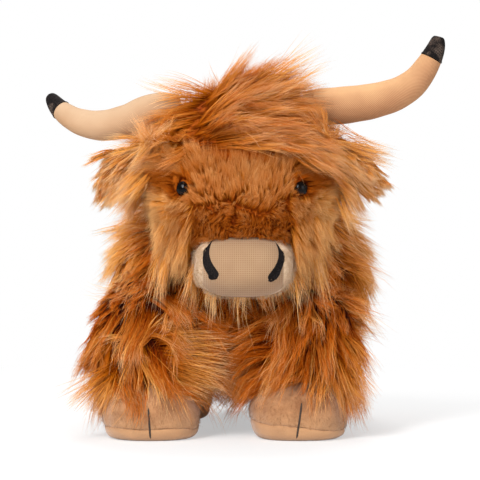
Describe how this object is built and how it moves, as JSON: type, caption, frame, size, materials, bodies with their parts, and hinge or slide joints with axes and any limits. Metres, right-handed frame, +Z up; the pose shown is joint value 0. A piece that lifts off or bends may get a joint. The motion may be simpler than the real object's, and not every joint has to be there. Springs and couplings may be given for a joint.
{
  "type": "plush cow",
  "caption": "Long-haired ginger plush cow standing on cloven cloth hooves, with curved knitted horns, floppy ears, woven muzzle and a hanging tufted tail.",
  "frame": {"origin": "middle of the footprint of the whole toy, on the surface that the four soles stand on", "axes": "+Z up, -Y the way the cow faces, +X the cow's own left side"},
  "size_m": [0.3118, 0.3256, 0.308],
  "materials": {
    "long_pile": "matte",
    "face_pile": "matte",
    "filling": "matte",
    "horn_knit": "matte",
    "black_cloth": "matte",
    "hoof_pile": "matte",
    "muzzle_weave": "matte",
    "muzzle_pile": "matte",
    "dark_thread": "satin",
    "eye_plastic": "gloss",
    "washer_plastic": "matte"
  },
  "bodies": {
    "cow": {"body_skin": "long_pile", "body_filling": "filling", "head_skin": "face_pile", "head_filling": "filling", "forelock": "long_pile", "front_muzzle_panel": "muzzle_weave", "right_eye": "eye_plastic", "right_eye_washer": "washer_plastic", "right_horn": "horn_knit", "right_horn_tip": "black_cloth", "right_muzzle_panel": "muzzle_pile", "right_nostril": "black_cloth", "front_right_leg_skin": "long_pile", "front_right_leg_filling": "filling", "front_right_hoof": "hoof_pile", "front_right_sole": "hoof_pile", "front_right_toe_stitch": "dark_thread", "rear_right_leg_skin": "long_pile", "rear_right_leg_filling": "filling", "rear_right_hoof": "hoof_pile", "rear_right_sole": "hoof_pile", "rear_right_toe_stitch": "dark_thread", "left_eye": "eye_plastic", "left_eye_washer": "washer_plastic", "left_horn": "horn_knit", "left_horn_tip": "black_cloth", "left_muzzle_panel": "muzzle_pile", "left_nostril": "black_cloth", "front_left_leg_skin": "long_pile", "front_left_leg_filling": "filling", "front_left_hoof": "hoof_pile", "front_left_sole": "hoof_pile", "front_left_toe_stitch": "dark_thread", "rear_left_leg_skin": "long_pile", "rear_left_leg_filling": "filling", "rear_left_hoof": "hoof_pile", "rear_left_sole": "hoof_pile", "rear_left_toe_stitch": "dark_thread"},
    "right_ear": {"right_ear": "long_pile"},
    "left_ear": {"left_ear": "long_pile"},
    "tail": {"tail": "long_pile", "tail_tuft": "long_pile"}
  },
  "joints": [
    {"name": "right_ear_flop", "type": "hinge", "parent": "cow", "child": "right_ear", "pos_m": [-0.07893, -0.08548, 0.21622], "axis": [0, -1, 0], "range_deg": [-18, 16], "stiffness_Nm_per_rad": 0.15},
    {"name": "left_ear_flop", "type": "hinge", "parent": "cow", "child": "left_ear", "pos_m": [0.07654, -0.08554, 0.21619], "axis": [0, 1, 0], "range_deg": [-18, 16], "stiffness_Nm_per_rad": 0.15},
    {"name": "tail_swing", "type": "hinge", "parent": "cow", "child": "tail", "pos_m": [-0.00419, 0.10677, 0.183], "axis": [1, 0, 0], "range_deg": [0, 80]}
  ]
}
